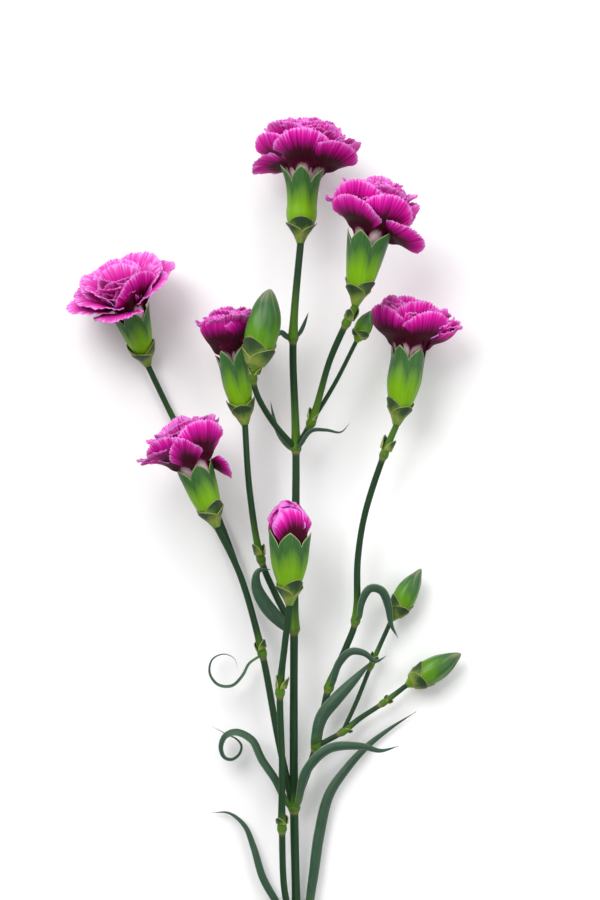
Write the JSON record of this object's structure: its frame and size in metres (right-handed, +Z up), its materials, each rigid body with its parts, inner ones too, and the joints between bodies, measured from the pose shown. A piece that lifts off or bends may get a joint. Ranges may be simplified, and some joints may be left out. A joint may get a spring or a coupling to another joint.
{
  "type": "cut carnation",
  "caption": "Cut spray carnation lying on a table: a long jointed stem with side shoots, curled leaves, magenta ruffled flowers in green calyces, and closed buds.",
  "frame": {"origin": "middle of the footprint on the table, under the stem", "axes": "+Z up from the table; +Y along the stem from its cut end to the top flower; +X to the right of the stem seen from above"},
  "size_m": [0.163, 0.398, 0.0694],
  "materials": {
    "stem": "waxy blue-green stem, brighter green above each joint",
    "leaf": "waxy grey-green blade with fine lengthwise veins",
    "calyx": "smooth satin tube, yellow-green below and blue-green at its teeth",
    "bract": "dull dark green with pale thin margins",
    "bud": "satin green with fine lengthwise veins",
    "petal": "soft matt magenta, wine red towards the middle",
    "petal_pale": "soft matt magenta with pale lilac toothed edges"
  },
  "bodies": {
    "root": {"main_stem": "stem", "front_flower_stem": "stem", "upper_bud_stem": "stem", "large_bud_stem": "stem", "cup_flower_stem": "stem", "left_flower_stem": "stem", "face_flower_stem": "stem", "right_flower_stem": "stem", "low_bud_stem": "stem", "right_bud_stem": "stem", "pink_bud_stem": "stem", "curled_leaf": "leaf", "arched_leaf": "leaf", "broad_leaf": "leaf", "drooping_leaf": "leaf", "hooked_leaf": "leaf", "straight_leaf": "leaf", "sickle_leaf": "leaf", "upper_left_leaf": "leaf", "top_left_leaf": "leaf", "top_right_leaf": "leaf", "ringed_leaf": "leaf", "low_left_leaf": "leaf", "low_right_leaf": "leaf", "top_flower_calyx": "calyx", "top_flower_bracts": "bract", "top_flower_outer_petals": "petal", "top_flower_inner_petals": "petal_pale", "front_flower_calyx": "calyx", "front_flower_bracts": "bract", "front_flower_outer_petals": "petal", "front_flower_inner_petals": "petal_pale", "right_flower_calyx": "calyx", "right_flower_bracts": "bract", "right_flower_outer_petals": "petal", "right_flower_inner_petals": "petal_pale", "left_flower_calyx": "calyx", "left_flower_bracts": "bract", "left_flower_outer_petals": "petal", "left_flower_inner_petals": "petal_pale", "face_flower_calyx": "calyx", "face_flower_bracts": "bract", "face_flower_outer_petals": "petal", "face_flower_inner_petals": "petal_pale", "cup_flower_calyx": "calyx", "cup_flower_bracts": "bract", "cup_flower_petals": "petal", "large_bud": "bud", "large_bud_bracts": "bract", "upper_bud": "bud", "upper_bud_bracts": "bract", "right_bud": "bud", "right_bud_bracts": "bract", "low_bud": "bud", "low_bud_bracts": "bract", "pink_bud_calyx": "calyx", "pink_bud_bracts": "bract", "pink_bud_petals": "petal"}
  },
  "joints": []
}
